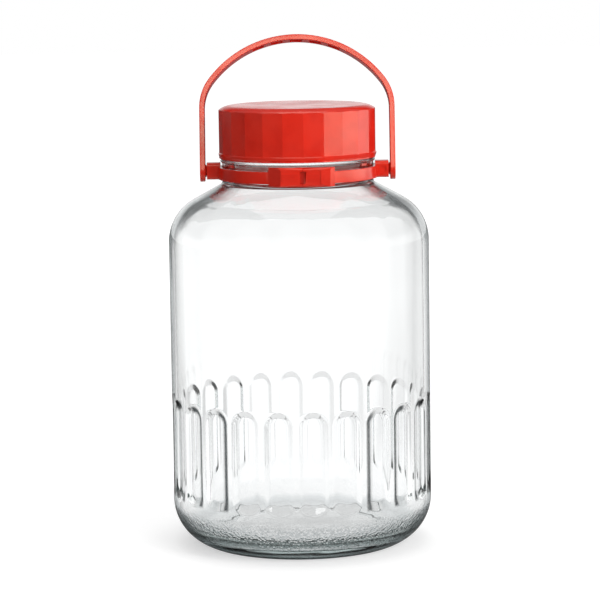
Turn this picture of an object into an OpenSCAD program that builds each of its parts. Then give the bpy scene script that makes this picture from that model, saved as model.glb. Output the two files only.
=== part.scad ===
// Glass storage jar with arched flutes, a screw cap over an inner stopper,
// and a bail handle that swings in the ears of a clasped collar ring.
// Millimetres, +Z up, origin at the middle of the base, clasp towards -Y.

/* [Glass body] */
// Outside diameter of the body
body_d = 178; // [165:1:190]
// Height at which the straight wall turns in to the shoulder
wall_top = 208; // [190:0.5:230]
// Thickness of the wall
wall = 4; // [3.4:0.1:5]
// Thickness of the base
base_t = 11; // [8:0.5:13]
// Radius of the rounded heel
heel_r = 33; // [28:1:36]
// How far the base plane cuts into the heel's circle
heel_cut = 2; // [0.5:0.5:4]
// Radius of the heel inside the jar
inner_heel_r = 18; // [14:1:24]
// Radius of the rounded shoulder
shoulder_r = 33; // [28:1:36]
// Fall of the straight part of the shoulder, in degrees
shoulder_slope = 29; // [25:1:33]
// Width of the flat ring that the jar stands on
foot_w = 9; // [6:0.5:14]
// Depth of the hollow under the base
push_up = 1.6; // [1:0.1:3]

/* [Flutes] */
// Number of flutes round the body
flute_count = 24; // [20:1:28]
// Depth of a flute's flat floor below the middle of its opening
flute_depth = 2; // [1.7:0.1:2.4]
// Width of the bevelled flank along a flute's sides
flank_w = 2.8; // [2:0.1:3.2]
// Width of the gentler flank at a flute's foot
foot_flank_w = 4.2; // [3.8:0.1:5]
// Width of the ridge between two flutes
ridge_w = 3; // [2:0.1:5]
// Height of the lowest point of a flute
flute_bottom = 33; // [31:0.5:40]
// Height of the top of a flute's arch
flute_top = 104.5; // [90:0.5:130]
// Radius of the shallow curve at the foot of a flute
flute_foot_r = 20; // [16:1:28]
// Turn of the first ridge from the front, in degrees
flute_turn = -2.5; // [-7:0.5:7]

/* [Neck] */
// Inside diameter of the mouth
mouth_d = 88; // [80:0.5:92]
// Wall of the plain finish that the cap screws over
finish_t = 4.6; // [4:0.1:5.4]
// How far the neck under the collar stands out of the finish
neck_step = 2.9; // [2.4:0.1:3.4]
// Height of the finish above the bead
finish_h = 30.6; // [26:0.2:36]
// Radius of the round where the neck meets the shoulder
neck_fillet = 3; // [2:0.25:4]
// Radius of the same round inside the jar
inner_neck_fillet = 6; // [4:0.5:8]
// Half height of the bead round the neck
bead_r = 1.3; // [1.25:0.05:1.6]
// How far the bead stands out of the neck
bead_out = 1.2; // [1:0.05:1.25]
// Radius of the lip's outer edge
lip_r = 1.4; // [1:0.1:1.8]

/* [Collar ring] */
// Height of the band
band_h = 8.2; // [7:0.1:9]
// Thickness of the band
band_t = 2.7; // [2.2:0.1:3.4]
// Height of the band above the foot of the neck
band_lift = 3; // [2.6:0.1:4]
// Gap between the top of the band and the bead
bead_gap = 3; // [2.4:0.1:4]
// Height of the handle's pivot above the middle of the band
pivot_rise = 1.3; // [0.6:0.1:1.8]
// Length of an ear, out from the band
ear_l = 7.3; // [6.4:0.1:9]
// Width of an ear, front to back
ear_w = 12; // [10:0.5:14]
// Height of an ear
ear_h = 11.4; // [10:0.2:12]
// Radius of an ear's long edges
ear_edge_r = 2.2; // [1.2:0.1:3]
// Diameter of the round dimple in an ear's front and back
dimple_d = 4.4; // [3:0.2:5]
// Depth of the dimple
dimple_depth = 0.8; // [0.4:0.1:1]
// Height of the clasp
clasp_h = 12.6; // [11:0.2:13]
// How far the clasp's jaws stand out of the band
clasp_out = 3.8; // [3.2:0.1:5]
// Drop of the clasp's middle below the pivot
clasp_drop = 0.3; // [0:0.1:0.6]
// Size of the bevel along the clasp's upper edge
clasp_bevel = 1.9; // [1:0.1:2.4]
// Offset of the clasp's slot to the right of the front
slot_x = 3; // [1:0.1:5]
// Width of the slot
slot_w = 3.4; // [2.6:0.1:4.4]
// Height of the lip under the slot
slot_sill = 1.8; // [1.2:0.1:2.4]
// Height of the ledge over the slot
slot_lintel = 2.6; // [1.8:0.1:3.4]
// Gap between the two ends of the band, past the slot
part_w = 0.5; // [0.4:0.1:0.8]
// Slant of that gap, in degrees from straight in, so that it doesn't show through
part_slant = 30; // [20:1:35]
// Length of the left jaw, from the slot
left_jaw = 12.9; // [10:0.1:15]
// Length of the slope from the left jaw down to the band
left_slope = 8; // [6:0.5:10]
// Length of the right jaw, from the gap
right_jaw = 10; // [8.6:0.1:12]
// Length of the plain block at the end of the right jaw
end_block = 9.3; // [7:0.1:11]
// How far that block stands out of the jaws
end_block_out = 0.5; // [0.2:0.1:1]
// Size of the block's outer corner
end_corner = 3; // [2:0.1:4]
// Number of ribs across a jaw
rib_count = 2; // [1:1:3]
// Distance between two ribs
rib_pitch = 2.7; // [2:0.1:3]
// Height of a rib
rib_h = 1; // [0.6:0.1:1.6]
// How far a rib stands out of its jaw
rib_out = 0.5; // [0.2:0.1:0.8]
// Distance from the end of a rib to the end of its jaw
rib_inset = 1.2; // [0.6:0.1:2]
// Thickness of the tongue that joins the jaws
tongue_t = 1.3; // [1:0.1:1.6]
// Height of the tongue
tongue_h = 5; // [4:0.1:6]
// Length of the tongue inside the right jaw
tongue_bite = 7.5; // [5:0.1:8]

/* [Handle] */
// Thickness of the strap
strap_t = 3.5; // [3:0.1:4.5]
// Width of the strap
strap_w = 14.8; // [13:0.2:17]
// Drop from the top of the cap to the end of the straight legs
leg_drop = 2; // [0:0.2:6]
// Room from the top of the cap to the top of the handle
hand_room = 47.6; // [44:0.2:60]
// Outer radius of the turn from a leg into the arch
turn_r = 33; // [28:0.5:36]
// Lean of the handle towards the back, in degrees
handle_lean = 11; // [0:1:30]
// Diameter of a pin
pin_d = 5.8; // [4.6:0.1:6.4]
// Depth of a pin in its ear
pin_depth = 4.6; // [3.5:0.1:5]
// Diameter of the boss round a pin
boss_d = 8.5; // [8:0.1:9.5]
// Length of the boss
boss_l = 0.9; // [0.6:0.1:1.5]
// Number of cored pockets under the grip
pocket_count = 5; // [3:2:7]
// Distance between neighbouring pockets along the grip
pocket_pitch = 13.2; // [11:0.2:15]
// Length of a pocket along the grip
pocket_l = 8; // [6:0.2:9]
// Width of a pocket
pocket_w = 9.4; // [8:0.2:11]
// Depth of a pocket
pocket_depth = 1.7; // [1:0.1:2]

/* [Cap] */
// Number of flat facets round the cap
facet_count = 24; // [18:1:30]
// Turn of a facet corner from the front, in degrees
facet_turn = 4.3; // [-7:0.1:7]
// Room for the threads between the finish and the cap's wall
thread_room = 2.3; // [2:0.1:2.6]
// Wall of the cap, at the corners of its facets
cap_wall = 2.6; // [2.2:0.1:3.4]
// Width of the crown between the flat top and the facets
crown_w = 8.5; // [6:0.1:10]
// Radius of the crown
crown_r = 14; // [12:0.5:20]
// Thickness of the cap's top
cap_top_t = 2.4; // [2:0.1:3]
// Width of the slope that stiffens the corner inside the cap
cap_corner_w = 2.2; // [1.2:0.1:3]
// Height of that slope
cap_corner_h = 3.5; // [2:0.1:5]
// How far the flange at the foot stands out of the facets
flange_out = 0.45; // [0.2:0.05:1]
// Height of the flange
flange_h = 3.9; // [3:0.1:5]
// Size of the flange's broken edges
flange_edge = 0.7; // [0.3:0.1:1]

/* [Stopper and seal] */
// Thickness of the stopper's flange
stopper_flange_t = 1.6; // [1.2:0.1:2.2]
// Width of the stopper's flange past the mouth
stopper_flange_w = 3.6; // [2.6:0.1:4]
// Wall of the stopper's cup
stopper_t = 1.6; // [1.2:0.1:2.2]
// Depth of the cup below the lip
stopper_depth = 12; // [8:0.5:18]
// Size of the broken edge at the foot of the cup
stopper_edge = 1; // [0.5:0.1:1.5]
// Thickness of the sealing ring
seal_t = 1.2; // [0.8:0.1:2]

/* [Clearances] */
// Between the collar and the neck
neck_clear = 0.4; // [0.3:0.05:0.6]
// Between a pin and its bore, on the radius
pin_clear = 0.05; // [0.02:0.01:0.1]
// Between the end of a pin and the end of its bore
bore_spare = 0.5; // [0.3:0.1:1]
// Between a boss and its ear
ear_clear = 0.3; // [0.2:0.05:0.6]
// Between the cap and the bead under it
cap_lift = 0.35; // [0.3:0.05:0.6]
// Between the stopper and the top of the cap
stopper_clear = 0.2; // [0.1:0.05:0.4]
// Between the stopper and the mouth
mouth_clear = 0.4; // [0.3:0.05:0.6]
// Between the tongue and its socket
tongue_clear = 0.3; // [0.2:0.05:0.4]

/* [Hidden] */
$fn = 128;

// A corner circle stands this much proud of its lines, so that the outlines cross cleanly
proud = 0.002;
// Reach of a cutter past the surface that it cuts
past = 1;

// Radii, each from the one inside it
body_r = body_d / 2;
mouth_r = mouth_d / 2;
finish_r = mouth_r + finish_t;
neck_r = finish_r + neck_step;
band_in = neck_r + neck_clear;
band_out = band_in + band_t;
bead_pass_r = neck_r + bead_out + neck_clear;
ear_reach = band_out + ear_l;
strap_in = ear_reach + ear_clear + boss_l;
strap_out = strap_in + strap_t;
cap_in_r = finish_r + thread_room;
cap_r = cap_in_r + cap_wall;
flange_r = cap_r + flange_out;

// Heights, each from the one below it
neck_foot = slope_height(body_r, shoulder_r, neck_r);
band_z = neck_foot + band_lift;
band_top = band_z + band_h;
pivot_z = band_z + band_h / 2 + pivot_rise;
bead_z = band_top + bead_gap + bead_r;
bead_top = bead_z + bead_r;
cap_z = bead_top + cap_lift;
lip_z = bead_top + finish_h;
seal_top = lip_z + seal_t;
stopper_top = seal_top + stopper_flange_t;
cap_ceiling = stopper_top + stopper_clear;
cap_top = cap_ceiling + cap_top_t;

// Clasp, as distances to the right of the front, with its left end sunk a little into the band
clasp_root = 0.4;
clasp_reach = band_out + clasp_out;
clasp_z = pivot_z - clasp_drop - clasp_h / 2;
slot_left = slot_x - slot_w / 2;
slot_right = slot_x + slot_w / 2;
jaw_left = slot_left - left_jaw;
part_right = slot_right + part_w;
jaw_right = part_right + right_jaw;
clasp_left = jaw_left - left_slope;
clasp_right = jaw_right + end_block;
part_shift = (band_out - band_in) * tan(part_slant);
rib_z = clasp_z + (clasp_h + slot_sill - slot_lintel - rib_h) / 2;
tongue_z = band_z + (band_h - tongue_h) / 2;

// Handle, measured from its pivot
leg_h = cap_top - pivot_z - leg_drop;
handle_h = cap_top - pivot_z + hand_room;
turn_x = strap_out - turn_r;
rise = handle_h - leg_h;
arch_r = (turn_x * turn_x + rise * rise - turn_r * turn_r) / (2 * (rise - turn_r));
arch_z = handle_h - arch_r;
arch_angle = atan2(turn_x, leg_h - arch_z);
pin_r = pin_d / 2;
bore_r = pin_r + pin_clear;
pocket_step = pocket_pitch / (arch_r - strap_t) * 180 / PI;

// Flutes: flanks meet the body a flute's width apart, at edge_x from the axis
flute_step = 360 / flute_count;
flute_half_w = body_r * sin(flute_step / 2) - ridge_w / 2;
floor_x = body_r - flute_depth;
edge_x = sqrt(body_r * body_r - flute_half_w * flute_half_w);
// Reach of a flute's cutter past the body, too short to meet its neighbours there
cutter_past = 0.2;
cutter_x = body_r + cutter_past;

// How much wider a flute is at a distance from the axis than at its edge, for a flank of width w
function flank_spread(x, w) = (x - edge_x) * w / (edge_x - floor_x);

// Height of the straight shoulder at a radius, for a vessel of a given wall and shoulder radius
function slope_height(wall_r, round_r, r) =
    wall_top + round_r * cos(shoulder_slope)
    + (wall_r - round_r + round_r * sin(shoulder_slope) - r) * tan(shoulder_slope);

// Corners of a regular outline, the first at the angle turn
function ring_corners(count, r, turn) =
    [for (i = [0 : count - 1]) [r * cos(turn + i * 360 / count), r * sin(turn + i * 360 / count)]];

// Half outline of a vessel: rounded heel, straight wall, rounded shoulder, slope and filleted neck
module vessel_outline(wall_r, floor_z, heel, cut, shoulder, throat_r, fillet, top_z) {
    heel_h = heel - cut;
    heel_in = wall_r - heel;
    turn_in = wall_r - shoulder;
    throat_z = slope_height(wall_r, shoulder, throat_r);
    fillet_r = throat_r + fillet;
    fillet_z = throat_z + fillet * (1 - sin(shoulder_slope)) / cos(shoulder_slope);
    difference() {
        intersection() {
            translate([0, floor_z]) square([wall_r, top_z - floor_z]);
            union() {
                polygon([
                    [0, floor_z],
                    [heel_in + sqrt(heel * heel - heel_h * heel_h), floor_z],
                    [wall_r, floor_z + heel_h],
                    [wall_r, wall_top],
                    [turn_in + shoulder * sin(shoulder_slope), wall_top + shoulder * cos(shoulder_slope)],
                    [fillet_r - fillet * sin(shoulder_slope), fillet_z - fillet * cos(shoulder_slope)],
                    [throat_r, fillet_z],
                    [throat_r, top_z],
                    [0, top_z]
                ]);
                translate([heel_in, floor_z + heel_h]) circle(heel + proud);
                translate([turn_in, wall_top]) circle(shoulder + proud);
            }
        }
        translate([fillet_r, fillet_z]) circle(fillet + proud);
    }
}

// Bead and finish above the plain neck, with a rounded outer edge on the lip
module finish_outline() {
    translate([neck_r + bead_out - bead_r, bead_z]) circle(bead_r);
    polygon([
        [0, bead_z - bead_r / 2],
        [finish_r, bead_z - bead_r / 2],
        [finish_r, lip_z - lip_r],
        [finish_r - lip_r, lip_z],
        [0, lip_z]
    ]);
    intersection() {
        square([finish_r, lip_z]);
        translate([finish_r - lip_r, lip_z - lip_r]) circle(lip_r + proud);
    }
}

// Hollow under the base, inside the ring that the jar stands on
module push_up_outline() {
    heel_h = heel_r - heel_cut;
    foot_r = body_r - heel_r + sqrt(heel_r * heel_r - heel_h * heel_h);
    rim = foot_r - foot_w;
    polygon([[0, -past], [rim + past, -past], [rim, 0], [rim - 2 * push_up, push_up], [0, push_up]]);
}

// Plan of a flute: its flat floor and its flanks, out past the body
module flute_plan() {
    in_w = flute_half_w + flank_spread(floor_x, flank_w);
    out_w = flute_half_w + flank_spread(cutter_x, flank_w);
    polygon([[floor_x, -in_w], [cutter_x, -out_w], [cutter_x, out_w], [floor_x, in_w]]);
}

// Half cone that carries a flute's flanks round its arch
module flute_arch() {
    in_w = flute_half_w + flank_spread(floor_x, flank_w);
    out_w = flute_half_w + flank_spread(cutter_x, flank_w);
    rotate([0, 90, 0])
        rotate([0, 0, 90])
            rotate_extrude(angle = 180)
                polygon([[0, floor_x], [in_w, floor_x], [out_w, cutter_x], [0, cutter_x]]);
}

// Cone that closes a flute's foot in a shallow curve
module flute_foot() {
    low_x = floor_x - past;
    high_x = cutter_x + past;
    low_r = flute_foot_r + flank_spread(low_x, foot_flank_w);
    high_r = flute_foot_r + flank_spread(high_x, foot_flank_w);
    translate([low_x, 0, 0]) rotate([0, 90, 0]) cylinder(r1 = low_r, r2 = high_r, h = high_x - low_x);
}

// One flute: a flat floor between bevelled flanks, an arch above and a shallow curve below
module flute_cutter() {
    arch_foot = flute_top - flute_half_w - flank_spread(body_r, flank_w);
    foot_z = flute_bottom + flute_foot_r + flank_spread(body_r, foot_flank_w);
    intersection() {
        translate([0, 0, flute_bottom - past])
            linear_extrude(height = foot_z - flute_bottom + past) flute_plan();
        translate([0, 0, foot_z]) flute_foot();
    }
    translate([0, 0, foot_z]) linear_extrude(height = arch_foot - foot_z) flute_plan();
    translate([0, 0, arch_foot]) flute_arch();
}

module glass_jar() {
    color([0.85, 0.92, 0.92, 0.4])
        difference() {
            rotate_extrude()
                difference() {
                    union() {
                        vessel_outline(body_r, 0, heel_r, heel_cut, shoulder_r, neck_r, neck_fillet, bead_z);
                        finish_outline();
                    }
                    vessel_outline(body_r - wall, base_t, inner_heel_r, 0, shoulder_r - wall, mouth_r,
                        inner_neck_fillet, lip_z + past);
                    push_up_outline();
                }
            for (i = [0 : flute_count - 1])
                rotate([0, 0, -90 + flute_turn + (i + 0.5) * flute_step]) flute_cutter();
        }
}

// Rectangle with rounded corners, centred
module rounded_rectangle(w, h, r) {
    intersection() {
        square([w, h], center = true);
        union() {
            square([w - 2 * r, h], center = true);
            square([w, h - 2 * r], center = true);
            for (x = [-1, 1], y = [-1, 1])
                translate([x * (w / 2 - r), y * (h / 2 - r)]) circle(r + proud);
        }
    }
}

// Ear on the side given by its sign, from inside the band out to its face
module ear_block(side) {
    depth = ear_reach - band_in;
    translate([side * (band_in + depth / 2), 0, pivot_z])
        rotate([0, 90, 0])
            linear_extrude(height = depth, center = true) rounded_rectangle(ear_h, ear_w, ear_edge_r);
}

// Blind bore for the handle's pin
module ear_bore(side) {
    translate([side * ear_reach, 0, pivot_z])
        rotate([0, -90 * side, 0])
            translate([0, 0, -past]) cylinder(r = bore_r, h = pin_depth + bore_spare + past);
}

// Round dimples in the front and the back of an ear
module ear_dimples(side) {
    dimple_x = ear_reach - ear_l / 2;
    for (face = [-1, 1])
        translate([side * dimple_x, face * (ear_w / 2 - dimple_depth), pivot_z])
            rotate([-90 * face, 0, 0]) cylinder(d = dimple_d, h = dimple_depth + past);
}

// Plan of the clasp: a sloped left end, two jaws and a plain block on the right
module clasp_plan() {
    back = -band_in / 2;
    front = -clasp_reach - end_block_out;
    polygon([
        [clasp_left, back],
        [clasp_left, clasp_root - sqrt(band_out * band_out - clasp_left * clasp_left)],
        [jaw_left, -clasp_reach],
        [jaw_right, -clasp_reach],
        [jaw_right, front],
        [clasp_right - end_corner, front + end_corner / 3],
        [clasp_right, front + end_corner],
        [clasp_right, back]
    ]);
}

// Side view of the clasp, as distance from the axis and height: bevelled above and below
module clasp_side() {
    front = clasp_reach + end_block_out;
    top = clasp_z + clasp_h;
    polygon([
        [0, clasp_z],
        [front - clasp_bevel / 2, clasp_z],
        [front, clasp_z + clasp_bevel],
        [front, top - clasp_bevel],
        [front - clasp_bevel, top],
        [0, top]
    ]);
}

// Both jaws and the end block in one piece, with raised ribs across each jaw
module clasp_block() {
    intersection() {
        translate([0, 0, clasp_z]) linear_extrude(height = clasp_h) clasp_plan();
        translate([clasp_left, 0, 0])
            rotate([90, 0, 90])
                linear_extrude(height = clasp_right - clasp_left) mirror([1, 0]) clasp_side();
    }
    for (jaw = [[jaw_left, slot_left], [part_right, jaw_right]], i = [0 : rib_count - 1])
        translate([jaw[0] + rib_inset, -clasp_reach - rib_out, rib_z + (i - (rib_count - 1) / 2) * rib_pitch])
            cube([jaw[1] - jaw[0] - 2 * rib_inset, rib_out + past, rib_h]);
}

// Angle from the front of a point on the tongue that lies x to the right
function tongue_angle(x) = asin(x / (band_in + tongue_t));

// Curved tongue between two distances to the right of the front, thickened by grow for its socket
module tongue_arc(from_x, to_x, grow) {
    start = tongue_angle(from_x);
    translate([0, 0, tongue_z - grow])
        rotate([0, 0, start - 90])
            rotate_extrude(angle = tongue_angle(to_x) - start)
                translate([band_in - grow, 0]) square([tongue_t + 2 * grow, tongue_h + 2 * grow]);
}

// Slanted gap between the ends of the band, from the front of the clasp in to the bore
module band_gap() {
    start_x = slot_right - (clasp_out + past) * tan(part_slant);
    depth = clasp_out + band_t + 4 * past;
    translate([start_x, -clasp_reach - past, clasp_z - past])
        rotate([0, 0, -part_slant])
            cube([part_w, depth / cos(part_slant), clasp_h + 2 * past]);
}

// Band, ears and clasp, bored out for the neck and the bead, slotted, and parted past the slot
module parted_band() {
    difference() {
        union() {
            translate([0, 0, band_z]) cylinder(r = band_out, h = band_h);
            clasp_block();
            for (side = [-1, 1]) ear_block(side);
        }
        translate([0, 0, clasp_z - past]) cylinder(r = band_in, h = clasp_h + 2 * past);
        translate([0, 0, band_top]) cylinder(r = bead_pass_r, h = clasp_h);
        translate([slot_left, -clasp_reach - past, clasp_z + slot_sill])
            cube([part_right - slot_left, clasp_out + past, clasp_h - slot_sill - slot_lintel]);
        band_gap();
        tongue_arc(part_right, part_right + part_shift + tongue_bite + tongue_clear, tongue_clear);
    }
}

module collar_ring() {
    color([0.86, 0.16, 0.12])
        difference() {
            union() {
                parted_band();
                tongue_arc(slot_right - past, part_right + part_shift + tongue_bite, 0);
            }
            for (side = [-1, 1]) {
                ear_bore(side);
                ear_dimples(side);
            }
        }
}

// Outline of the bail, set in from its outer face: legs, two turns and a flatter top
module bail_outline(inset, foot) {
    half = strap_out - inset;
    far = 2 * arch_r;
    translate([-half, -foot]) square([2 * half, leg_h + foot]);
    for (side = [-1, 1])
        translate([side * turn_x, leg_h]) circle(turn_r - inset + proud);
    intersection() {
        translate([0, arch_z]) circle(arch_r - inset);
        translate([0, arch_z])
            polygon([
                [0, 0],
                [far * sin(arch_angle), far * cos(arch_angle)],
                [0, far],
                [-far * sin(arch_angle), far * cos(arch_angle)]
            ]);
    }
}

// Pocket cored into the underside of the grip at an angle from its middle
module grip_pocket(angle) {
    translate([0, 0, arch_z])
        rotate([0, angle, 0])
            translate([-pocket_l / 2, -pocket_w / 2, arch_r - strap_t - past])
                cube([pocket_l, pocket_w, pocket_depth + past]);
}

// Round foot of a leg, with the boss and the pin on its inner face
module leg_foot(side) {
    rotate([0, 90 * side, 0]) {
        translate([0, 0, strap_in]) cylinder(d = strap_w, h = strap_t);
        translate([0, 0, strap_in - boss_l]) cylinder(d = boss_d, h = boss_l + strap_t / 2);
        translate([0, 0, ear_reach - pin_depth]) cylinder(r = pin_r, h = strap_in - ear_reach + pin_depth);
    }
}

module carry_handle() {
    color([0.9, 0.2, 0.14])
        translate([0, 0, pivot_z])
            rotate([-handle_lean, 0, 0])
                difference() {
                    union() {
                        translate([0, strap_w / 2, 0])
                            rotate([90, 0, 0])
                                linear_extrude(height = strap_w)
                                    difference() {
                                        bail_outline(0, 0);
                                        bail_outline(strap_t, past);
                                    }
                        for (side = [-1, 1]) leg_foot(side);
                    }
                    for (i = [0 : pocket_count - 1])
                        grip_pocket((i - (pocket_count - 1) / 2) * pocket_step);
                }
}

// Outline of the cap's outside: flat top, crown and a straight side that the facets then trim
module cap_crown_outline() {
    flat_r = cap_r - crown_w;
    translate([0, cap_z]) square([flat_r, cap_top - cap_z]);
    translate([0, cap_z]) square([flat_r + crown_r, cap_top - crown_r - cap_z]);
    translate([flat_r, cap_top - crown_r]) circle(crown_r + proud);
}

// Outline of the flange, with its edges broken
module cap_flange_outline() {
    polygon([
        [0, cap_z],
        [flange_r - 2 * flange_edge, cap_z],
        [flange_r - flange_edge / 2, cap_z + 2 * flange_edge],
        [flange_r, cap_z + flange_h - flange_edge],
        [flange_r - flange_edge, cap_z + flange_h],
        [0, cap_z + flange_h]
    ]);
}

// Outline of the hollow that takes the finish and the stopper, drawn in under the crown
module cap_hollow_outline() {
    polygon([
        [0, cap_z - past],
        [cap_in_r, cap_z - past],
        [cap_in_r, cap_ceiling - cap_corner_h],
        [cap_in_r - cap_corner_w, cap_ceiling],
        [0, cap_ceiling]
    ]);
}

module screw_cap() {
    color([0.89, 0.18, 0.13])
        difference() {
            union() {
                intersection() {
                    translate([0, 0, cap_z])
                        linear_extrude(height = cap_top - cap_z + past)
                            polygon(ring_corners(facet_count, cap_r, facet_turn - 90));
                    rotate_extrude() cap_crown_outline();
                }
                rotate_extrude() cap_flange_outline();
            }
            rotate_extrude() cap_hollow_outline();
        }
}

// Cup that plugs the mouth, with a flange that the cap holds down on the seal
module inner_stopper() {
    cup_r = mouth_r - mouth_clear;
    cup_foot = lip_z - stopper_depth;
    color([0.96, 0.96, 0.94])
        rotate_extrude()
            polygon([
                [0, cup_foot],
                [cup_r - stopper_edge, cup_foot],
                [cup_r, cup_foot + stopper_edge],
                [cup_r, seal_top],
                [mouth_r + stopper_flange_w, seal_top],
                [mouth_r + stopper_flange_w, stopper_top],
                [cup_r - stopper_t, stopper_top],
                [cup_r - stopper_t, cup_foot + stopper_t],
                [0, cup_foot + stopper_t]
            ]);
}

// Flat ring between the lip and the stopper's flange
module sealing_ring() {
    color([0.93, 0.92, 0.88])
        translate([0, 0, lip_z])
            difference() {
                cylinder(r = mouth_r + stopper_flange_w, h = seal_t);
                translate([0, 0, -past]) cylinder(r = mouth_r, h = seal_t + 2 * past);
            }
}

glass_jar();
collar_ring();
carry_handle();
screw_cap();
inner_stopper();
sealing_ring();
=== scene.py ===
"""Looks of a glass storage jar with a red cap, collar and bail handle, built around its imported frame."""
import math

import bmesh
import bpy
import numpy as np
from mathutils import Matrix, Vector


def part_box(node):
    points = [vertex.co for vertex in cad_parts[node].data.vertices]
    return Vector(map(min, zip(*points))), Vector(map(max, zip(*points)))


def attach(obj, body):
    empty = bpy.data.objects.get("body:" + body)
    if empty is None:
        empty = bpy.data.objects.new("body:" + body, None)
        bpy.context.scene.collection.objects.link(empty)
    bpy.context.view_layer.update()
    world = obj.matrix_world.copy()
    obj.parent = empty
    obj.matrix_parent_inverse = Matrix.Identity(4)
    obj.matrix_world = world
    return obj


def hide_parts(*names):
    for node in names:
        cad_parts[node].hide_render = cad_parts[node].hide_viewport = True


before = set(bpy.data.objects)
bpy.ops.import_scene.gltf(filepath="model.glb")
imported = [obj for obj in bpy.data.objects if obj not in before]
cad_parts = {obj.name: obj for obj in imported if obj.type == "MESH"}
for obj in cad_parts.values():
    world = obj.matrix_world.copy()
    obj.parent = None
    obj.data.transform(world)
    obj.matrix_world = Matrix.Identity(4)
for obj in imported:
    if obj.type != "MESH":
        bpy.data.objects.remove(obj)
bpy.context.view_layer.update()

# Metres in a millimetre. Sizes of the jar are in millimetres and degrees unless a comment says otherwise.
MM = 0.001

# Glass body: its radius and height come from the frame, the rest are the solid's own sizes
glass_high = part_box("glass_jar")[1]
BODY_R = round(glass_high.x / MM, 1)
LIP_Z = glass_high.z / MM
WALL = 4.0
WALL_TOP = 208.0
HEEL_R = 33.0
HEEL_CUT = 2.0
SHOULDER_R = 33.0
SLOPE = 29.0
BASE_T = 11.0
INNER_HEEL_R = 18.0
FOOT_W = 9.0
PUSH_UP = 1.6

# Flutes. FLUTE_STEP, from one to the next, is in radians, and FLANK_ROUND is a share of a flank.
FLUTE_COUNT = 24
FLUTE_TURN = -2.5
FLUTE_DEPTH = 2.0
FLUTE_BOTTOM = 33.0
FLUTE_TOP = 104.5
FLUTE_FOOT_R = 20.0
RIDGE_W = 3.0
FLANK_W = 4.2
FOOT_FLANK_W = 5.4
FLANK_ROUND = 0.25
FLUTE_STEP = 2 * math.pi / FLUTE_COUNT
FLUTE_HALF_W = BODY_R * math.sin(FLUTE_STEP / 2) - RIDGE_W / 2
FLOOR_X = BODY_R - FLUTE_DEPTH
EDGE_X = math.sqrt(BODY_R**2 - FLUTE_HALF_W**2)

# Strip along each flute's inner edge that takes the flank's painted shade, and how it fades across and at its
# foot
RIM_W = 6.2
RIM_FADE_IN = 1.2
RIM_FADE_OUT = 2.5
RIM_FADE_UP = 3.0
RIM_LEAN = 28.0

# Neck and finish
MOUTH_R = 44.0
FINISH_R = 48.6
FINISH_ROUND = 0.4
NECK_R = 51.5
NECK_FILLET = 3.0
INNER_NECK_FILLET = 6.0
BEAD_R = 1.3
BEAD_OUT = 1.2
FINISH_H = 30.6
LIP_R = 1.4
LIP_INNER_R = 0.8
BEAD_TOP = LIP_Z - FINISH_H
BEAD_Z = BEAD_TOP - BEAD_R

# Screw thread on the glass finish. It fades in and out over a share of a turn.
THREAD_LEAD = 8.0
THREAD_H = 1.5
THREAD_W = 2.6
THREAD_TURNS = 1.6
THREAD_FADE = 0.12
THREAD_LOW = 272.0
THREAD_TOP = LIP_Z - LIP_R

# Mesh of the glass: columns to a flute, how far they gather at the ridges, how many of them make one
# column elsewhere, heights of a row at the flutes' feet, at their arches and on the thread, and the
# sharpest edge that is shaded smooth
FLUTE_COLUMNS = 22
GATHER = 0.6
COARSE = 4
FOOT_STEP = 0.5
ARCH_STEP = 0.6
THREAD_STEP = 0.55
SMOOTH_ANGLE = 40

# Mesh of the moulded pieces: points closer than this are one, and flatter joins than this are no edges
WELD = 0.002
FLAT_ANGLE = 0.4

# Colours of the glass: plain wall; painted shade on the flutes, the thick foot and the dots of the heel;
# painted shade on the skin seen at a slant low down and higher up; painted dark lines at its edges; and what
# its depth lets through
WALL_TINT = (0.985, 0.988, 0.989)
FLUTE_SHADE = (0.95, 0.958, 0.962)
FOOT_SHADE = (0.66, 0.69, 0.70)
STIPPLE_SHADE = (0.55, 0.58, 0.59)
LOW_SLANT_SHADE = (0.10, 0.115, 0.12)
SLANT_SHADE = (0.40, 0.43, 0.44)
LINE_SHADE = (0.016, 0.019, 0.020)
DEPTH_TINT = (0.62, 0.70, 0.69)
DEPTH_DENSITY = 9.0
GLASS_IOR = 1.5

# Heights on the glass over which its foot, stipple, heel, bowl and shoulder begin or end, in metres
FOOT_FADE = (0.009, 0.015)
STIPPLE_START = (0.008, 0.012)
STIPPLE_END = (0.022, 0.030)
HEEL_FADE = (0.014, 0.036)
BOWL_FADE = (0.022, 0.040)
SHOULDER_FADE = (0.204, 0.218)

# Slant, from 0 face on to 1 edge on, over which painted shade darkens a flank, the skin and the lining, and
# what the bowl and the shoulder add to it
FLANK_SLANT = (0.38, 0.52)
SKIN_SLANT = (0.70, 0.86)
LINING_SLANT = (0.78, 0.90)
BOWL_SLANT = 0.14
SHOULDER_SLANT = 0.12

# How strongly the flanks' painted shade and the stipple show from inside the glass, where 1 is as from
# outside
FAR_SIDE = 0.25

# Colours of the plastics and the seal, each with the deeper colour of its clouds
RED = (0.75, 0.022, 0.010)
DEEP_RED = (0.68, 0.017, 0.008)
RED_SHEEN = (1, 0.92, 0.7)
WHITE = (0.86, 0.86, 0.84)
DEEP_WHITE = (0.82, 0.82, 0.80)
SEAL = (0.80, 0.79, 0.75)
DEEP_SEAL = (0.74, 0.73, 0.69)
PLASTIC_IOR = 1.48

# Moulded red pieces: node, body, width of a rounded edge, least turn of an edge that is rounded, and least
# length of the edges at its ends
MOULDED = (
    ("collar_ring", "collar", 0.3, 24, 1.6),
    ("carry_handle", "handle", 0.35, 24, 0.0),
    ("screw_cap", "cap", 0.3, 12, 1.6),
)

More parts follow.
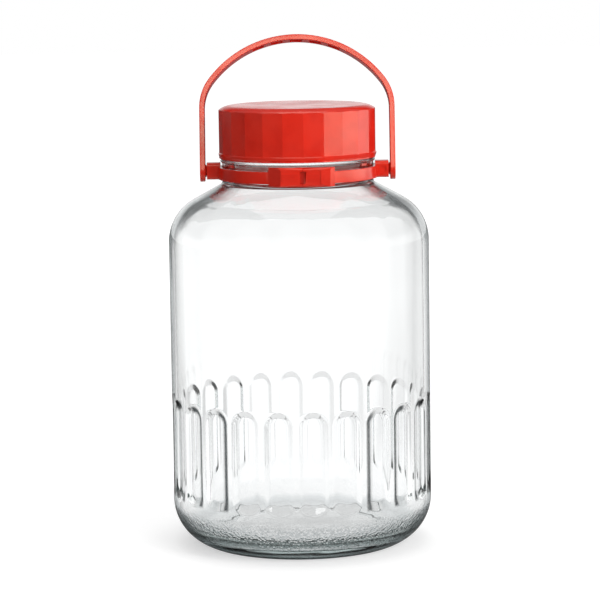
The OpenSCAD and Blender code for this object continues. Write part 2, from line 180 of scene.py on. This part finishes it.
# Studio lights: name, place, aim and size in metres, watts, and whether gloss mirrors them
MIDDLE = (0, 0, 0.25)
BODY_MIDDLE = (0, 0, 0.2)
SOFTBOXES = (
    ("front", (0.0, -2.0, 1.01), MIDDLE, (0.6, 0.35), 4, True),
    ("fill", (1.0, -1.75, 0.95), MIDDLE, (1.2, 0.55), 13, False),
    ("key", (1.4, -1.2, 1.2), MIDDLE, (0.8, 0.8), 13, False),
    ("right_front", (1.18, -0.93, 0.18), BODY_MIDDLE, (1.3, 0.16), 2.5, True),
    ("right", (1.5, 0.08, 0.18), BODY_MIDDLE, (1.0, 0.16), 2.0, True),
    ("right_back", (1.12, 1.0, 0.18), BODY_MIDDLE, (1.1, 0.16), 1.0, True),
    ("top", (0, 0.2, 1.7), MIDDLE, (1.0, 1.0), 5, True),
    ("back", (-0.3, 1.9, 1.0), MIDDLE, (1.2, 0.6), 10, False),
)

# Lights that are kept off the glass
STRIPS = ("right_front", "right", "right_back")

# Grey flags round the jar: how many, and the shares of each one's room over which it begins and ends
FLAG_COUNT = 8
FLAG_START = (0.08, 0.30)
FLAG_END = (0.50, 0.70)

# Bounces of light that the glass needs
BOUNCES = 24
GLOSSY_BOUNCES = 16


def arc(centre, radius, start, end, count):
    """Points (r, z) along an arc, from one angle to another, both ends included."""
    angles = np.radians(np.linspace(start, end, count))
    return [(centre[0] + radius * math.cos(a), centre[1] + radius * math.sin(a)) for a in angles]


def smooth_step(share):
    """Soft ramp from 0 to 1 for a share that runs from 0 to 1."""
    share = np.clip(share, 0, 1)
    return share * share * (3 - 2 * share)


def bevel_step(share):
    """Straight ramp from 0 to 1 with both of its ends rounded."""
    share = np.clip(share, 0, 1)
    low = np.minimum(share, 1 - share)
    curved = low * low / (2 * FLANK_ROUND)
    straight = low - FLANK_ROUND / 2
    bend = np.where(low < FLANK_ROUND, curved, straight) / (1 - FLANK_ROUND)
    return np.where(share < 0.5, bend, 1 - bend)


def slope_height(wall_r, round_r, r):
    """Height of the straight shoulder at a radius, as on the solid."""
    slope = math.radians(SLOPE)
    top = WALL_TOP + round_r * math.cos(slope)
    return top + (wall_r - round_r + round_r * math.sin(slope) - r) * math.tan(slope)


def fillet_centre(wall_r, round_r, throat_r, fillet):
    """Centre of the round between the shoulder and a throat."""
    slope = math.radians(SLOPE)
    rise = fillet * (1 - math.sin(slope)) / math.cos(slope)
    return throat_r + fillet, slope_height(wall_r, round_r, throat_r) + rise


def column_angles():
    """Angles from the front, closer together near the ridges between flutes."""
    t = np.arange(FLUTE_COLUMNS) / FLUTE_COLUMNS
    t = t - GATHER * np.sin(2 * math.pi * t) / (2 * math.pi)
    starts = math.radians(FLUTE_TURN) + FLUTE_STEP * np.arange(FLUTE_COUNT)
    return (starts[:, None] + FLUTE_STEP * t[None, :]).ravel()


def flute_spread(flank):
    """How much wider a flute is at the body's radius than at its edge, for a flank of a given width."""
    return (BODY_R - EDGE_X) * flank / (EDGE_X - FLOOR_X)


def flute_offset(angle):
    """Angle from the middle of the nearest flute."""
    return (angle - math.radians(FLUTE_TURN)) % FLUTE_STEP - FLUTE_STEP / 2


def arch_centre():
    """Height of the centre of the flutes' arches."""
    return FLUTE_TOP - FLUTE_HALF_W - flute_spread(FLANK_W)


def flute_share(angle, z):
    """How far into a flute a point is, from 0 on the wall to 1 on the flute's flat, and the flat's depth."""
    off = flute_offset(angle)
    across = BODY_R * np.sin(np.abs(off))
    outside = BODY_R * np.cos(off)
    foot_z = FLUTE_BOTTOM + FLUTE_FOOT_R + flute_spread(FOOT_FLANK_W)
    side = np.hypot(across, np.maximum(z - arch_centre(), 0)) - FLUTE_HALF_W
    foot = np.hypot(across, np.maximum(foot_z - z, 0)) - FLUTE_FOOT_R
    rise = np.maximum(side / FLANK_W, foot / FOOT_FLANK_W) * (EDGE_X - FLOOR_X)
    share = (outside - EDGE_X - rise) / (outside - FLOOR_X)
    return bevel_step(share), BODY_R - FLOOR_X / np.cos(off)


def flute_rim(angle, z):
    """Strip along the inner edge of each flute, as a share, and the way that its flank faces."""
    least_reach = 0.001
    across = BODY_R * np.sin(flute_offset(angle))
    above = np.maximum(z - arch_centre(), 0)
    reach = np.maximum(np.hypot(across, above), least_reach)
    inset = FLUTE_HALF_W - reach
    share = smooth_step(inset / RIM_FADE_IN) * smooth_step((RIM_W - inset) / RIM_FADE_OUT)
    share = share * smooth_step((z - FLUTE_BOTTOM) / RIM_FADE_UP)
    lean = math.radians(RIM_LEAN)
    out = np.stack([np.sin(angle), -np.cos(angle), np.zeros_like(angle)], axis=-1)
    along = np.stack([np.cos(angle), np.sin(angle), np.zeros_like(angle)], axis=-1)
    to_middle = along * (-across / reach)[..., None]
    to_middle[..., 2] -= above / reach
    return share, out * math.cos(lean) + to_middle * math.sin(lean)


def thread_rise(angle, z):
    """Height of the screw thread's ridge at an angle and a height, run out at both of its ends."""
    turn = (angle / (2 * math.pi)) % 1
    rise = np.zeros_like(angle + z)
    for lap in range(math.ceil(THREAD_TURNS)):
        along = turn + lap
        centre = THREAD_LOW + THREAD_LEAD * along
        fade = smooth_step(along / THREAD_FADE) * smooth_step((THREAD_TURNS - along) / THREAD_FADE)
        ridge = smooth_step(1 - np.abs(z - centre) / (THREAD_W / 2))
        rise = np.maximum(rise, THREAD_H * fade * ridge)
    return np.where(z < THREAD_TOP, rise, 0)


def outer_profile():
    """Outside of the glass (r, z), from the ring that it stands on up to the top of the bead."""
    heel = (BODY_R - HEEL_R, HEEL_R - HEEL_CUT)
    low = -math.degrees(math.asin(heel[1] / HEEL_R))
    foot_low = FLUTE_BOTTOM - 1
    foot_high = FLUTE_BOTTOM + 9
    arch_low = FLUTE_TOP - FLUTE_HALF_W - 1
    rows = list(np.arange(foot_low, foot_high, FOOT_STEP))
    rows += list(np.linspace(foot_high, arch_low, num=10, endpoint=False))
    rows += list(np.arange(arch_low, FLUTE_TOP + 1, ARCH_STEP))
    rows += list(np.linspace(FLUTE_TOP + 2, WALL_TOP - 3, num=8))
    fillet = fillet_centre(BODY_R, SHOULDER_R, NECK_R, NECK_FILLET)
    bead = (NECK_R + BEAD_OUT - BEAD_R, BEAD_Z)
    points = arc(heel, HEEL_R, low, 0, count=26)
    points += [(BODY_R, z) for z in rows]
    points += arc((BODY_R - SHOULDER_R, WALL_TOP), SHOULDER_R, 0, 90 - SLOPE, count=28)
    points += arc(fillet, NECK_FILLET, 270 - SLOPE, 180, count=10)
    points += [(NECK_R, BEAD_Z - 2 * BEAD_R)]
    points += arc(bead, BEAD_R, -85, 90, count=14)
    return np.array(points)


def inner_profile():
    """Finish, lip and inside of the glass (r, z), from the foot of the finish down to the floor."""
    inner_r = BODY_R - WALL
    inner_shoulder = SHOULDER_R - WALL
    fillet = fillet_centre(inner_r, inner_shoulder, MOUTH_R, INNER_NECK_FILLET)
    heel = (inner_r - INNER_HEEL_R, BASE_T + INNER_HEEL_R)
    points = [(FINISH_R + FINISH_ROUND, BEAD_TOP), (FINISH_R, BEAD_TOP + FINISH_ROUND)]
    points += [(FINISH_R, z) for z in np.arange(BEAD_TOP + 1, THREAD_TOP - 0.5, THREAD_STEP)]
    points += arc((FINISH_R - LIP_R, LIP_Z - LIP_R), LIP_R, 0, 90, count=7)
    points += arc((MOUTH_R + LIP_INNER_R, LIP_Z - LIP_INNER_R), LIP_INNER_R, 90, 180, count=5)
    points += [(MOUTH_R, z) for z in np.linspace(LIP_Z - 3, fillet[1] + 2, num=6)]
    points += arc(fillet, INNER_NECK_FILLET, 180, 270 - SLOPE, count=10)
    points += arc((inner_r - inner_shoulder, WALL_TOP), inner_shoulder, 90 - SLOPE, 0, count=24)
    points += [(inner_r, z) for z in np.linspace(WALL_TOP - 4, heel[1] + 4, num=20)]
    points += arc(heel, INNER_HEEL_R, 0, -90, count=18)
    points += [(r, BASE_T) for r in np.linspace(heel[0] - 4, 6, num=12)]
    return np.array(points)


def under_profile():
    """Underside (r, z), from the inner edge of the ring that the jar stands on to the middle."""
    foot_r = BODY_R - HEEL_R + math.sqrt(HEEL_R**2 - (HEEL_R - HEEL_CUT)**2)
    rim = foot_r - FOOT_W
    hollow = rim - 2 * PUSH_UP
    points = [(rim, 0.0), (rim - 0.8, 0.25), (hollow + 0.8, PUSH_UP - 0.25)]
    points += [(r, PUSH_UP) for r in np.linspace(hollow - 0.4, 5, num=14)]
    return np.array(points)


def turned(profile, angles, change=None):
    """Points of a profile at each angle from the front, rows by columns, with a change of radius if given."""
    r = np.repeat(profile[:, :1], len(angles), axis=1)
    z = np.repeat(profile[:, 1:], len(angles), axis=1)
    a = np.repeat(angles[None, :], len(profile), axis=0)
    if change is not None:
        r = r + change(a, z)
    return np.stack([r * np.sin(a), -r * np.cos(a), z], axis=2) * MM


def add_grid(verts, faces, grid):
    """Adds a grid that closes round its columns, and returns the number of its first point."""
    rows, columns = grid.shape[:2]
    first = len(verts)
    verts.extend(map(tuple, grid.reshape(-1, 3)))
    for i in range(rows - 1):
        for j in range(columns):
            k = (j + 1) % columns
            a = first + i * columns
            faces.append((a + j, a + k, a + columns + k, a + columns + j))
    return first


def add_seam(faces, fine_first, coarse_first, columns):
    """Joins a fine ring to a coarse ring with COARSE times fewer points."""
    coarse = columns // COARSE
    for j in range(coarse):
        fine = [fine_first + (j * COARSE + i) % columns for i in range(COARSE + 1)]
        faces.append(fine + [coarse_first + (j + 1) % coarse, coarse_first + j])


def add_pole(verts, faces, ring_first, columns, z):
    """Closes a ring with a point on the axis."""
    pole = len(verts)
    verts.append((0.0, 0.0, z * MM))
    for j in range(columns):
        faces.append((ring_first + j, ring_first + (j + 1) % columns, pole))


def add_object(name, mesh, material):
    """New object of a mesh with one material, in the scene."""
    mesh.materials.append(material)
    piece = bpy.data.objects.new(name, mesh)
    bpy.context.scene.collection.objects.link(piece)
    return piece


def closed_mesh(name, verts, faces):
    """New mesh with even outward faces, smooth but for its sharp edges."""
    mesh = bpy.data.meshes.new(name)
    mesh.from_pydata(verts, [], faces)
    work = bmesh.new()
    work.from_mesh(mesh)
    bmesh.ops.recalc_face_normals(work, faces=work.faces)
    work.to_mesh(mesh)
    work.free()
    mesh.shade_smooth()
    mesh.set_sharp_from_angle(angle=math.radians(SMOOTH_ANGLE))
    return mesh


def build_glass(material):
    """Glass jar as one closed skin: fluted outside, threaded finish, inside and underside."""
    fine = column_angles()
    coarse = fine[::COARSE]
    outer = outer_profile()
    inner = inner_profile()
    under = under_profile()
    on_finish = np.arange(len(inner))[:, None] < np.argmax(inner[:, 1] > THREAD_TOP)

    def flute_change(a, z):
        share, depth = flute_share(a, z)
        return -share * depth

    def finish_change(a, z):
        return np.where(on_finish, thread_rise(a, z), 0)

    verts = []
    faces = []
    outer_first = add_grid(verts, faces, turned(outer, fine, flute_change))
    inner_first = add_grid(verts, faces, turned(inner, coarse, finish_change))
    under_first = add_grid(verts, faces, turned(under, coarse))
    add_seam(faces, outer_first + (len(outer) - 1) * len(fine), inner_first, len(fine))
    add_seam(faces, outer_first, under_first, len(fine))
    add_pole(verts, faces, inner_first + (len(inner) - 1) * len(coarse), len(coarse), BASE_T)
    add_pole(verts, faces, under_first + (len(under) - 1) * len(coarse), len(coarse), PUSH_UP)
    mesh = closed_mesh("clear_glass", verts, faces)

    angles = np.repeat(fine[None, :], len(outer), axis=0)
    heights = np.repeat(outer[:, 1:], len(fine), axis=1)
    fluted = flute_share(angles, heights)[0]
    rim, lean = flute_rim(angles, heights)
    for name, values in (("fluted", fluted), ("rim", rim), ("outside", np.ones_like(rim))):
        data = np.zeros(len(verts), dtype=np.float32)
        data[outer_first:inner_first] = values.ravel()
        mesh.attributes.new(name, "FLOAT", "POINT").data.foreach_set("value", data)
    data = np.zeros((len(verts), 3), dtype=np.float32)
    data[:, 2] = 1
    data[outer_first:inner_first] = lean.reshape(-1, 3)
    mesh.attributes.new("lean", "FLOAT_VECTOR", "POINT").data.foreach_set("vector", data.ravel())
    return add_object("clear_glass", mesh, material)


def build_softened(name, node, material, edge, crease, room):
    """Copy of a CAD node with rounded edges, as a mould leaves them, where they turn by more than crease and
    no edge at their ends is shorter than room."""
    sharp_turn = math.radians(crease)
    work = bmesh.new()
    work.from_mesh(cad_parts[node].data)
    bmesh.ops.remove_doubles(work, verts=work.verts, dist=WELD * MM)
    bmesh.ops.join_triangles(work, faces=work.faces, angle_face_threshold=math.radians(FLAT_ANGLE),
                             angle_shape_threshold=math.radians(180))
    tight = {v for e in work.edges if e.calc_length() < room * MM for v in e.verts}
    sharp = [e for e in work.edges if e.calc_face_angle() > sharp_turn and not tight & set(e.verts)]
    rounded = bmesh.ops.bevel(work, geom=sharp, offset=edge * MM, offset_type="OFFSET", segments=2,
                              profile=0.5, affect="EDGES", clamp_overlap=False)
    soft = set(rounded["edges"])
    for e in work.edges:
        e.smooth = e in soft or e.calc_face_angle() < sharp_turn
    for face in work.faces:
        face.smooth = True
    mesh = bpy.data.meshes.new(name)
    work.to_mesh(mesh)
    work.free()
    piece = add_object(name, mesh, material)
    piece.modifiers.new("even_shading", "WEIGHTED_NORMAL").keep_sharp = True
    return piece


def node_material(name):
    """New node material, with its tree and its Principled shader."""
    material = bpy.data.materials.new(name)
    material.use_nodes = True
    return material, material.node_tree, material.node_tree.nodes["Principled BSDF"]


def put(tree, value, socket):
    """Links a socket to another one, or sets it to a number or a colour."""
    if isinstance(value, bpy.types.NodeSocket):
        tree.links.new(value, socket)
    elif isinstance(value, tuple):
        socket.default_value = (*value, 1)
    else:
        socket.default_value = value


def object_place(tree):
    """Place on the object, in metres."""
    return tree.nodes.new("ShaderNodeTexCoord").outputs["Object"]


def add_split(tree, place):
    """X, Y and Z of a place."""
    split = tree.nodes.new("ShaderNodeSeparateXYZ")
    put(tree, place, split.inputs["Vector"])
    return split.outputs


def add_noise(tree, place, scale, detail):
    """Noise texture at a scale per metre."""
    noise = tree.nodes.new("ShaderNodeTexNoise")
    noise.inputs["Scale"].default_value = scale
    noise.inputs["Detail"].default_value = detail
    put(tree, place, noise.inputs["Vector"])
    return noise.outputs["Fac"]


def add_bump(tree, height, strength, distance, normal=None):
    """Bump of a height field, in metres, as a normal, on top of another normal if given."""
    bump = tree.nodes.new("ShaderNodeBump")
    bump.inputs["Strength"].default_value = strength
    bump.inputs["Distance"].default_value = distance
    put(tree, height, bump.inputs["Height"])
    if normal is not None:
        put(tree, normal, bump.inputs["Normal"])
    return bump.outputs["Normal"]


def add_range(tree, value, span, low=0, high=1):
    """Soft ramp of a value that goes from low to high over a span."""
    ramp = tree.nodes.new("ShaderNodeMapRange")
    ramp.interpolation_type = "SMOOTHSTEP"
    ramp.inputs["From Min"].default_value = span[0]
    ramp.inputs["From Max"].default_value = span[1]
    ramp.inputs["To Min"].default_value = low
    ramp.inputs["To Max"].default_value = high
    put(tree, value, ramp.inputs["Value"])
    return ramp.outputs["Result"]


def add_math(tree, operation, first, second):
    """Math node on two values, each a socket or a number."""
    node = tree.nodes.new("ShaderNodeMath")
    node.operation = operation
    put(tree, first, node.inputs[0])
    put(tree, second, node.inputs[1])
    return node.outputs["Value"]


def add_product(tree, first, second):
    """Product of two values, each a socket or a number."""
    return add_math(tree, "MULTIPLY", first, second)


def add_mix(tree, kind, factor, first, second):
    """Mix of two colours (kind RGBA) or two numbers (kind FLOAT), each a socket or a value."""
    mix = tree.nodes.new("ShaderNodeMix")
    mix.data_type = kind
    put(tree, factor, mix.inputs["Factor"])
    put(tree, first, mix.inputs["A"])
    put(tree, second, mix.inputs["B"])
    return mix.outputs["Result"]


def add_attribute(tree, name, kind="Fac"):
    """Value that a mesh carries at each of its points."""
    attribute = tree.nodes.new("ShaderNodeAttribute")
    attribute.attribute_name = name
    return attribute.outputs[kind]


def add_slant(tree, normal=None):
    """How much a surface, or a surface with another normal, is seen at a slant: 0 face on, 1 edge on."""
    weight = tree.nodes.new("ShaderNodeLayerWeight")
    if normal is not None:
        put(tree, normal, weight.inputs["Normal"])
    return weight.outputs["Facing"]


def add_world_normal(tree, name):
    """Direction that a mesh carries at each of its points, turned with the object."""
    turn = tree.nodes.new("ShaderNodeVectorTransform")
    turn.vector_type = "NORMAL"
    turn.convert_from = "OBJECT"
    turn.convert_to = "WORLD"
    put(tree, add_attribute(tree, name, "Vector"), turn.inputs["Vector"])
    return turn.outputs["Vector"]


def glass_tint_and_painted_shade(tree, painted_stipple_shade, height, near):
    """Glass colour with painted shade: clear face on, painted darker at a slant and soonest on the flanks of
    the flutes, with painted shade on the flutes, the foot and the stipple's dots.
    """
    outside = add_attribute(tree, "outside")
    inside = add_math(tree, "SUBTRACT", 1.0, outside)
    shoulder = add_range(tree, height, SHOULDER_FADE, 0, SHOULDER_SLANT)
    bowl = add_range(tree, height, BOWL_FADE, BOWL_SLANT, 0)
    slant = add_math(tree, "ADD", add_slant(tree), shoulder)
    skin_slant = add_math(tree, "ADD", slant, bowl)
    flank_slant = add_slant(tree, add_world_normal(tree, "lean"))
    rim = add_product(tree, add_attribute(tree, "rim"), near)
    flank_dark = add_product(tree, add_range(tree, flank_slant, FLANK_SLANT), rim)
    skin_dark = add_product(tree, add_range(tree, skin_slant, SKIN_SLANT), outside)
    lining_dark = add_product(tree, add_range(tree, slant, LINING_SLANT), inside)
    # Thick foot painted darker: painted shade of the heel
    thick = add_product(tree, add_range(tree, height, FOOT_FADE, 1, 0), outside)
    # Flutes' flats a little greyer than the wall: painted shade
    panel = add_mix(tree, "RGBA", add_attribute(tree, "fluted"), WALL_TINT, FLUTE_SHADE)
    foot = add_mix(tree, "RGBA", thick, panel, FOOT_SHADE)
    stippled = add_mix(tree, "RGBA", painted_stipple_shade, foot, STIPPLE_SHADE)
    # Painted shade of the skin at a slant, darkest low down on the heel, and painted dark lines at the edges
    dark = add_mix(tree, "RGBA", add_range(tree, height, HEEL_FADE), LOW_SLANT_SHADE, SLANT_SHADE)
    skin = add_mix(tree, "RGBA", skin_dark, stippled, dark)
    lines = add_math(tree, "MAXIMUM", flank_dark, lining_dark)
    return add_mix(tree, "RGBA", lines, skin, LINE_SHADE)


def glass_material():
    """Clear glass: faint upright waves, a stippled heel, a grey-green tint in its depth, and painted shade in
    its colour at a slant, on the flutes, the foot and the stipple's dots.
    """
    material, tree, shader = node_material("clear_glass")
    shader.inputs["Transmission Weight"].default_value = 1.0
    shader.inputs["Roughness"].default_value = 0.0
    shader.inputs["IOR"].default_value = GLASS_IOR
    place = object_place(tree)
    height = add_split(tree, place)["Z"]
    tall = tree.nodes.new("ShaderNodeVectorMath")
    tall.operation = "MULTIPLY"
    tall.inputs[1].default_value = (1, 1, 0.2)
    put(tree, place, tall.inputs[0])
    waves = add_noise(tree, tall.outputs["Vector"], scale=40, detail=1)
    wave_normal = add_bump(tree, waves, strength=0.1, distance=0.002)
    above = add_range(tree, height, STIPPLE_START)
    below = add_range(tree, height, STIPPLE_END, 1, 0)
    backfacing = tree.nodes.new("ShaderNodeNewGeometry").outputs["Backfacing"]
    near = add_range(tree, backfacing, (0, 1), 1, FAR_SIDE)
    near_skin = add_product(tree, add_attribute(tree, "outside"), near)
    on_heel = add_product(tree, add_product(tree, above, below), near_skin)
    stipple = tree.nodes.new("ShaderNodeTexVoronoi")
    stipple.inputs["Scale"].default_value = 560
    put(tree, place, stipple.inputs["Vector"])
    pits = add_product(tree, stipple.outputs["Distance"], on_heel)
    normal = add_bump(tree, pits, strength=0.6, distance=0.0008, normal=wave_normal)
    put(tree, normal, shader.inputs["Normal"])
    # The stipple's dots darken the glass colour: painted shade of its pits
    dots = add_range(tree, stipple.outputs["Distance"], (0.25, 0.65))
    painted_stipple_shade = add_product(tree, dots, on_heel)
    put(tree, glass_tint_and_painted_shade(tree, painted_stipple_shade, height, near), shader.inputs["Base Color"])
    depth = tree.nodes.new("ShaderNodeVolumeAbsorption")
    depth.inputs["Color"].default_value = (*DEPTH_TINT, 1)
    depth.inputs["Density"].default_value = DEPTH_DENSITY
    put(tree, depth.outputs["Volume"], tree.nodes["Material Output"].inputs["Volume"])
    return material


def plastic_material(name, colour, deep, roughness, sheen=(1, 1, 1)):
    """Moulded plastic: slight clouds in its colour, uneven gloss and a faint orange peel."""
    material, tree, shader = node_material(name)
    place = object_place(tree)
    clouds = add_range(tree, add_noise(tree, place, scale=60, detail=4), (0.3, 0.6))
    put(tree, add_mix(tree, "RGBA", clouds, deep, colour), shader.inputs["Base Color"])
    scuffs = add_noise(tree, place, scale=45, detail=3)
    gloss = add_range(tree, scuffs, (0.3, 0.7), roughness - 0.04, roughness + 0.05)
    put(tree, gloss, shader.inputs["Roughness"])
    peel = add_noise(tree, place, scale=900, detail=2)
    put(tree, add_bump(tree, peel, strength=0.004, distance=0.0002), shader.inputs["Normal"])
    shader.inputs["IOR"].default_value = PLASTIC_IOR
    shader.inputs["Specular Tint"].default_value = (*sheen, 1)
    return material


def add_flags(tree, split, even, odd, share):
    """Light from each bearing round the jar: white, with a share of soft grey flags of two levels in turn."""
    bearing = add_math(tree, "ARCTAN2", split["X"], split["Y"])
    turns = add_product(tree, bearing, FLAG_COUNT / (2 * math.pi))
    room = add_math(tree, "FRACT", turns, 0.0)
    start = add_range(tree, room, FLAG_START)
    end = add_range(tree, room, FLAG_END, 1, 0)
    flag = add_product(tree, add_math(tree, "MINIMUM", start, end), share)
    pair = add_math(tree, "FRACT", add_product(tree, turns, 0.5), 0.0)
    in_turn = add_math(tree, "GREATER_THAN", pair, 0.5)
    depth = add_range(tree, in_turn, (0, 1), 1 - even, 1 - odd)
    return add_math(tree, "SUBTRACT", 1.0, add_product(tree, flag, depth))


def floor_material():
    """Pale floor: white to the eye, white with grey flags through glass, and with the jar's shadow from the
    lamps, deepened by a painted shadow near and under the jar.
    """
    material, tree, shader = node_material("pale_floor")
    path = tree.nodes.new("ShaderNodeLightPath").outputs
    place = object_place(tree)
    speckle = add_noise(tree, place, scale=90, detail=3)
    tone = add_mix(tree, "RGBA", speckle, (0.54, 0.54, 0.54), (0.56, 0.56, 0.56))
    base = add_mix(tree, "RGBA", path["Is Glossy Ray"], tone, (0.2, 0.2, 0.2))
    put(tree, base, shader.inputs["Base Color"])
    shader.inputs["Roughness"].default_value = 0.9
    shader.inputs["Specular IOR Level"].default_value = 0.0
    length = tree.nodes.new("ShaderNodeVectorMath")
    length.operation = "LENGTH"
    put(tree, place, length.inputs[0])
    reach = length.outputs["Value"]
    # Less glow near and under the jar, to the eye and through glass: a painted shadow there
    jar_edge = (0.06, 0.12)
    near = add_range(tree, reach, jar_edge, 0.5, 0.68)
    far = add_range(tree, reach, (0.3, 2.2), 0, 0.2)
    direct = add_product(tree, path["Is Camera Ray"], add_math(tree, "ADD", near, far))
    under = add_range(tree, reach, jar_edge, 0.85, 1.0)
    clear = add_range(tree, reach, (0.15, 0.5))
    flags = add_flags(tree, add_split(tree, place), even=0.76, odd=0.56, share=clear)
    shade = add_product(tree, flags, under)
    through = add_product(tree, path["Is Transmission Ray"], shade)
    shader.inputs["Emission Color"].default_value = (1, 1, 1, 1)
    put(tree, add_math(tree, "MAXIMUM", direct, through), shader.inputs["Emission Strength"])
    return material


def build_world():
    """Studio light: white to the eye, white with grey flags to glass, and brightest low down to gloss."""
    world = bpy.data.worlds.new("studio")
    bpy.context.scene.world = world
    world.use_nodes = True
    tree = world.node_tree
    back = tree.nodes["Background"]
    path = tree.nodes.new("ShaderNodeLightPath").outputs
    split = add_split(tree, tree.nodes.new("ShaderNodeTexCoord").outputs["Generated"])
    ambient = 0.34
    flags = add_flags(tree, split, even=0.6, odd=0.5, share=1.0)
    horizon = add_range(tree, split["Z"], (0.08, 0.3), 0.9, 0.3)
    level = add_mix(tree, "FLOAT", path["Is Transmission Ray"], ambient, flags)
    level = add_mix(tree, "FLOAT", path["Is Glossy Ray"], level, horizon)
    level = add_mix(tree, "FLOAT", path["Is Camera Ray"], level, 1.0)
    put(tree, level, back.inputs["Strength"])
    back.inputs["Color"].default_value = (1, 1, 1, 1)


def add_softbox(name, place, aim, size, watts, mirrored):
    """Rectangular studio light at a place, turned to a point, that gloss mirrors or doesn't."""
    light = bpy.data.lights.new(name, "AREA")
    light.shape = "RECTANGLE"
    light.size, light.size_y = size
    light.energy = watts
    lamp = bpy.data.objects.new(name, light)
    lamp.location = place
    lamp.visible_camera = False
    lamp.visible_transmission = False
    lamp.visible_glossy = mirrored
    lamp.rotation_mode = "QUATERNION"
    lamp.rotation_quaternion = (Vector(aim) - Vector(place)).to_track_quat("-Z", "Y")
    bpy.context.scene.collection.objects.link(lamp)
    return lamp


def keep_off(lamps, piece):
    """Flags lamps off a piece, so that it neither takes their light nor mirrors them."""
    group = bpy.data.collections.new("flagged_off")
    group.objects.link(piece)
    group.collection_objects[0].light_linking.link_state = "EXCLUDE"
    for lamp in lamps:
        lamp.light_linking.receiver_collection = group


def build_camera():
    """Camera at the viewing angle, with the small roll that leans the jar's top to the left, in metres."""
    place = Vector((0, -1.8727, 0.4170))
    aim = Vector((0.0002, 0, 0.1667))
    roll = math.radians(0.85)
    data = bpy.data.cameras.new("camera")
    data.lens = 165.0
    data.sensor_width = 36
    data.clip_end = 50
    camera = bpy.data.objects.new("camera", data)
    turn = (aim - place).to_track_quat("-Z", "Y").to_matrix().to_4x4()
    camera.matrix_world = Matrix.Translation(place) @ turn @ Matrix.Rotation(-roll, 4, "Z")
    bpy.context.scene.collection.objects.link(camera)
    bpy.context.scene.camera = camera


def build_floor():
    """Round pale floor, in metres, a hair under the jar."""
    radius = 8.0
    sides = 128
    below = -0.0002
    points = [(radius * math.cos(a), radius * math.sin(a), below)
              for a in np.linspace(0, 2 * math.pi, sides, endpoint=False)]
    mesh = bpy.data.meshes.new("floor")
    mesh.from_pydata(points, [], [list(range(sides))])
    floor = add_object("floor", mesh, floor_material())


build_camera()
build_world()
build_floor()
lamps = {softbox[0]: add_softbox(*softbox) for softbox in SOFTBOXES}

glass = build_glass(glass_material())
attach(glass, "jar")
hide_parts("glass_jar")
keep_off([lamps[name] for name in STRIPS], glass)

red = plastic_material("red_plastic", RED, DEEP_RED, roughness=0.16, sheen=RED_SHEEN)
for node, body, edge, crease, room in MOULDED:
    piece = build_softened(node + "_moulded", node, red, edge, crease, room)
    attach(piece, body)
    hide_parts(node)

white = plastic_material("white_plastic", WHITE, DEEP_WHITE, roughness=0.42)
rubber = plastic_material("seal_rubber", SEAL, DEEP_SEAL, roughness=0.6)
for node, material in (("inner_stopper", white), ("sealing_ring", rubber)):
    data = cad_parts[node].data
    data.materials.clear()
    data.materials.append(material)

bpy.context.scene.view_settings.view_transform = "Standard"
bpy.context.scene.cycles.max_bounces = BOUNCES
bpy.context.scene.cycles.glossy_bounces = GLOSSY_BOUNCES
bpy.context.scene.cycles.transmission_bounces = BOUNCES
